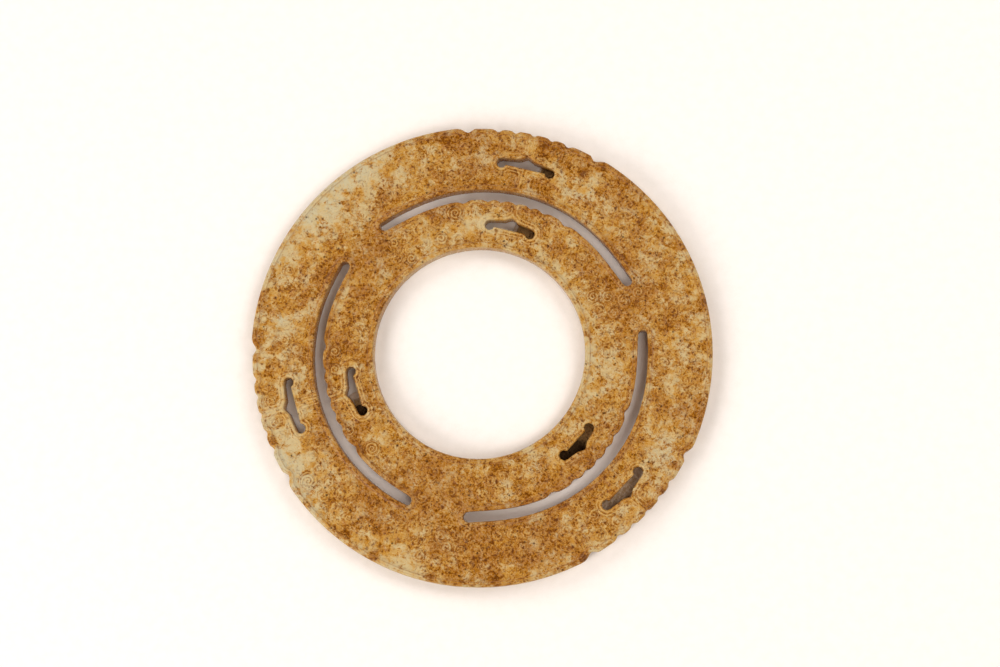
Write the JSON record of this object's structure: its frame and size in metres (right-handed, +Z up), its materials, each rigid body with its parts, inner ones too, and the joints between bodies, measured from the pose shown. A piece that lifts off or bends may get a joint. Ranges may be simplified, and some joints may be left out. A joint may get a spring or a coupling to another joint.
{
  "type": "openwork jade disc",
  "caption": "Flat openwork disc of stained jade: two linked rings around a wide round hole, carved with confronted dragon heads, pierced mouths and low round bosses.",
  "frame": {"origin": "centre of the hole, on the underside", "axes": "+Z up through the plate, out of the carved face; +Y towards the pair of heads at the top; +X to the right of it"},
  "size_m": [0.1158, 0.1157, 0.0045],
  "materials": {
    "jade": "satin"
  },
  "bodies": {
    "root": {"jade_disc": "jade"}
  },
  "joints": []
}
